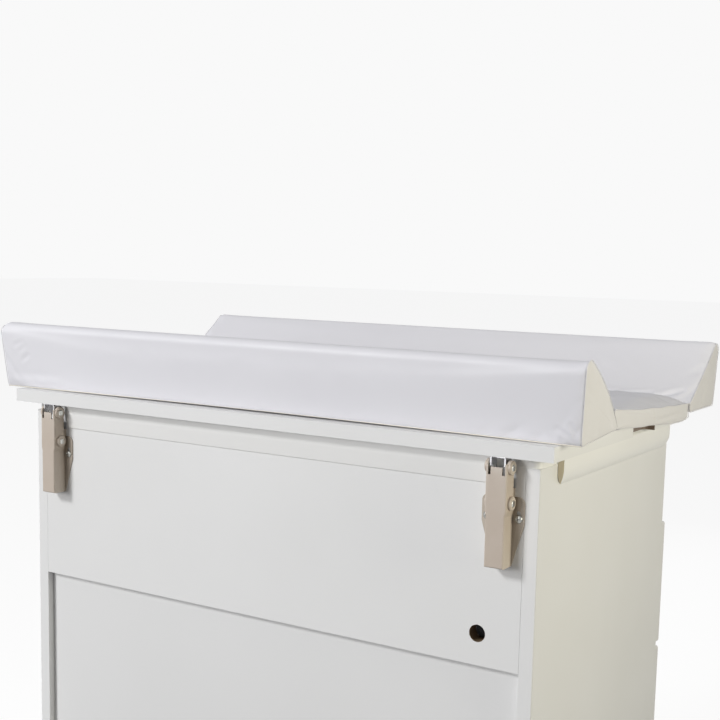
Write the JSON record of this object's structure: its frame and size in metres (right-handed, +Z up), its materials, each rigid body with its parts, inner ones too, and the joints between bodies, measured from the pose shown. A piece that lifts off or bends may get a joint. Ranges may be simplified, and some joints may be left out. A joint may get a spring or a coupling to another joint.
{
  "type": "changing table",
  "caption": "White changing table: padded lid on spring hinges tips up over a moulded baby bath with a drain, above a chest of drawers with finger grips.",
  "frame": {"origin": "centre of the whole table's footprint box, on the floor", "axes": "+X along the back to the right of someone who faces the drawers, +Y from the drawers to the hinged back, +Z up"},
  "size_m": [0.9296, 0.534, 0.9203],
  "materials": {
    "white_board": "white lacquered board, satin",
    "white_hardboard": "white lacquered hardboard",
    "tub_plastic": "vacuum formed, satin gloss",
    "drain_plastic": "moulded",
    "stopper_rubber": "smooth light grey",
    "runner_plastic": "moulded",
    "glide_plastic": "moulded",
    "pad_cover": "wipe-clean coated cover, soft sheen",
    "hinge_paint": "beige stove enamel",
    "bright_steel": "bright zinc or chrome plate",
    "spring_steel": "oiled"
  },
  "bodies": {
    "cabinet": {"side_panel_left": "white_board", "side_panel_right": "white_board", "upper_back_panel": "white_board", "bottom_panel": "white_board", "plinth": "white_board", "bath_front_panel": "white_board", "lower_back_panel": "white_hardboard", "bath_tub": "tub_plastic", "drain_fitting": "drain_plastic", "drain_nut": "drain_plastic", "drawer_runners": "runner_plastic", "floor_glides": "glide_plastic", "hinge_casing_left": "hinge_paint", "hinge_pivot_pin_left": "bright_steel", "hinge_guide_rivet_left": "bright_steel", "hinge_washers_left": "bright_steel", "hinge_spring_left": "spring_steel", "hinge_casing_right": "hinge_paint", "hinge_pivot_pin_right": "bright_steel", "hinge_guide_rivet_right": "bright_steel", "hinge_washers_right": "bright_steel", "hinge_spring_right": "spring_steel", "hinge_screws": "bright_steel"},
    "lid": {"lid_board": "white_board", "hinge_leaf_left": "bright_steel", "hinge_leaf_right": "bright_steel", "hinge_leaf_screws": "bright_steel", "pad_rear_bolster": "pad_cover", "pad_front_bolster": "pad_cover", "pad_mattress": "pad_cover"},
    "drawer_1": {"drawer_1_front": "white_board", "drawer_1_side_left": "white_board", "drawer_1_side_right": "white_board", "drawer_1_back": "white_board", "drawer_1_bottom": "white_hardboard"},
    "drawer_2": {"drawer_2_front": "white_board", "drawer_2_side_left": "white_board", "drawer_2_side_right": "white_board", "drawer_2_back": "white_board", "drawer_2_bottom": "white_hardboard"},
    "drawer_3": {"drawer_3_front": "white_board", "drawer_3_side_left": "white_board", "drawer_3_side_right": "white_board", "drawer_3_back": "white_board", "drawer_3_bottom": "white_hardboard"},
    "plug": {"drain_plug": "stopper_rubber"},
    "plunger_left": {"hinge_plunger_left": "spring_steel"},
    "plunger_right": {"hinge_plunger_right": "spring_steel"}
  },
  "joints": [
    {"name": "lid_hinge", "type": "hinge", "parent": "cabinet", "child": "lid", "pos_m": [-0.008, 0.257, 0.7933], "axis": [-1, 0, 0], "range_deg": [0, 85]},
    {"name": "drawer_1_slide", "type": "slide", "parent": "cabinet", "child": "drawer_1", "axis": [0, -1, 0], "range_m": [0, 0.3]},
    {"name": "drawer_2_slide", "type": "slide", "parent": "cabinet", "child": "drawer_2", "axis": [0, -1, 0], "range_m": [0, 0.3]},
    {"name": "drawer_3_slide", "type": "slide", "parent": "cabinet", "child": "drawer_3", "axis": [0, -1, 0], "range_m": [0, 0.3]},
    {"name": "plug_lift", "type": "slide", "parent": "cabinet", "child": "plug", "axis": [0, 0, 1], "range_m": [0, 0.04]},
    {"name": "plunger_left_slide", "type": "slide", "parent": "cabinet", "child": "plunger_left", "axis": [0, 0, 1], "range_m": [0, 0.006], "deforming": ["hinge_spring_left"]},
    {"name": "plunger_right_slide", "type": "slide", "parent": "cabinet", "child": "plunger_right", "axis": [0, 0, 1], "range_m": [0, 0.006], "deforming": ["hinge_spring_right"]}
  ],
  "couplings": [
    {"joint": "plunger_left_slide", "follows": "lid_hinge", "m_per_rad": 0.004},
    {"joint": "plunger_right_slide", "follows": "lid_hinge", "m_per_rad": 0.004}
  ]
}
